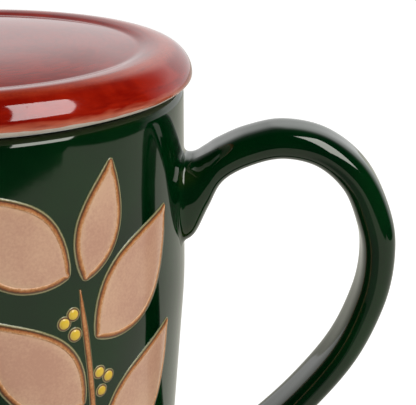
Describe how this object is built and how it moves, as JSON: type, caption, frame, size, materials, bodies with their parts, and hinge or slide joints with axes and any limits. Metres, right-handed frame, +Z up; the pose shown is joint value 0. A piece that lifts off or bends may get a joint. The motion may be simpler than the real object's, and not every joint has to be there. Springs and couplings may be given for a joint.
{
  "type": "lidded tea mug with infuser",
  "caption": "Stoneware tea mug with a looped handle, a lift-off domed lid and a lift-out punched steel infuser basket that hangs from the rim.",
  "frame": {"origin": "the middle of the foot ring, on the surface that the mug stands on", "axes": "+Z up along the axis of the mug, +X towards the handle, +Y to the mug's back when the handle points right"},
  "size_m": [0.1329, 0.092, 0.1136],
  "materials": {
    "green_glaze": "gloss",
    "red_glaze": "gloss",
    "pressed_steel": "satin",
    "punched_steel": "satin",
    "pink_glaze": "gloss",
    "brown_line": "matte",
    "bare_clay": "matte"
  },
  "bodies": {
    "mug": {"mug_body": "green_glaze", "handle": "green_glaze"},
    "infuser": {"infuser_collar": "pressed_steel", "infuser_wall": "punched_steel", "infuser_base": "punched_steel"},
    "lid": {"lid": "red_glaze"}
  },
  "joints": [
    {"name": "infuser_lift", "type": "slide", "parent": "mug", "child": "infuser", "axis": [0, 0, 1], "range_m": [0, 0.08]},
    {"name": "lid_lift", "type": "slide", "parent": "infuser", "child": "lid", "axis": [0, 0, 1], "range_m": [0, 0.06]}
  ]
}
